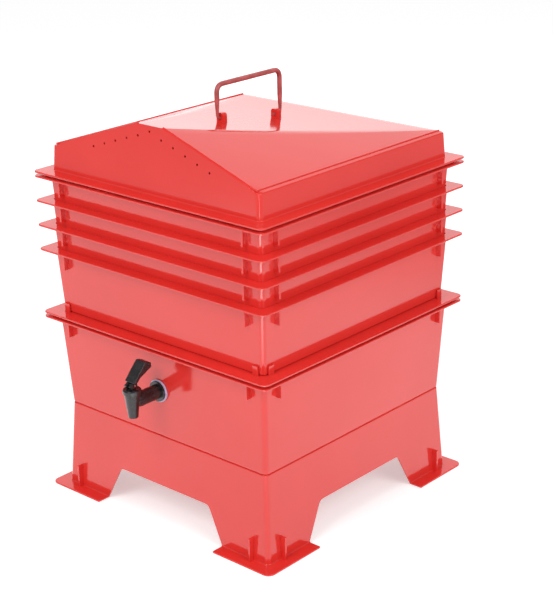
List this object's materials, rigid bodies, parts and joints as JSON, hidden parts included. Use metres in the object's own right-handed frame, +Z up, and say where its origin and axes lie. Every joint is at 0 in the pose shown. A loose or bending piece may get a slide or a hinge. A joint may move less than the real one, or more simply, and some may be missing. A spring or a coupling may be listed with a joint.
{
  "type": "wormery",
  "caption": "Square stacking wormery: nested perforated trays over a sump with a lever tap, on a stand with arched feet, under a gable lid with a rod handle.",
  "frame": {"origin": "bottom centre of the whole object's bounding box, on the floor under the feet", "axes": "+Z up along the stack, -Y towards the tap and the lid's gable, +X to the right of someone facing the tap from the object"},
  "size_m": [0.508, 0.5548, 0.7069],
  "materials": {
    "red_plastic": "glossy moulded polypropylene",
    "red_rod": "satin dip coating on steel rod",
    "black_plastic": "semi-gloss moulded",
    "clear_rubber": "clear, slightly violet",
    "pale_rubber": "matt",
    "steel": "bright"
  },
  "bodies": {
    "stand": {"stand": "red_plastic"},
    "sump": {"sump_tray": "red_plastic", "tap_body": "black_plastic", "tap_bonnet": "black_plastic", "tap_outer_washer": "clear_rubber", "tap_inner_washer": "pale_rubber", "tap_lock_nut": "black_plastic", "tap_spring": "steel"},
    "tap_stem_unit": {"tap_stem": "black_plastic", "tap_seat_cup": "pale_rubber"},
    "tap_lever": {"tap_lever": "black_plastic", "tap_lever_pin": "steel"},
    "drain_plate": {"drain_plate": "red_plastic"},
    "tray_4": {"working_tray_4": "red_plastic"},
    "tray_3": {"working_tray_3": "red_plastic"},
    "tray_2": {"working_tray_2": "red_plastic"},
    "tray_1": {"working_tray_1": "red_plastic"},
    "lid": {"lid": "red_plastic", "handle_ear_front": "red_plastic", "handle_ear_rear": "red_plastic", "ear_screw_front_left": "steel", "ear_screw_front_right": "steel", "ear_screw_rear_left": "steel", "ear_screw_rear_right": "steel"},
    "bail": {"handle_bail": "red_rod"}
  },
  "joints": [
    {"name": "sump_lift", "type": "slide", "parent": "stand", "child": "sump", "axis": [0, 0, 1], "range_m": [0, 0.05]},
    {"name": "plate_lift", "type": "slide", "parent": "sump", "child": "drain_plate", "axis": [0, 0, 1], "range_m": [0, 0.04]},
    {"name": "tray_4_lift", "type": "slide", "parent": "drain_plate", "child": "tray_4", "axis": [0, 0, 1], "range_m": [0, 0.08]},
    {"name": "tray_3_lift", "type": "slide", "parent": "tray_4", "child": "tray_3", "axis": [0, 0, 1], "range_m": [0, 0.08]},
    {"name": "tray_2_lift", "type": "slide", "parent": "tray_3", "child": "tray_2", "axis": [0, 0, 1], "range_m": [0, 0.08]},
    {"name": "tray_1_lift", "type": "slide", "parent": "tray_2", "child": "tray_1", "axis": [0, 0, 1], "range_m": [0, 0.08]},
    {"name": "lid_lift", "type": "slide", "parent": "tray_1", "child": "lid", "axis": [0, 0, 1], "range_m": [0, 0.12]},
    {"name": "bail_swing", "type": "hinge", "parent": "lid", "child": "bail", "pos_m": [0, -0.04054, 0.64834], "axis": [0, 0.9901, -0.1405], "range_deg": [-90, 90]},
    {"name": "tap_stem_lift", "type": "slide", "parent": "sump", "child": "tap_stem_unit", "axis": [0, 0, 1], "range_m": [0, 0.0032], "stiffness_N_per_m": 600, "springref_m": -0.002, "deforming": ["tap_spring"]},
    {"name": "tap_lever_turn", "type": "hinge", "parent": "tap_stem_unit", "child": "tap_lever", "pos_m": [0, -0.26241, 0.2642], "axis": [1, 0, 0], "range_deg": [0, 76]}
  ],
  "couplings": [
    {"joint": "tap_lever_turn", "follows": "tap_stem_lift", "rad_per_m": 381.79}
  ]
}
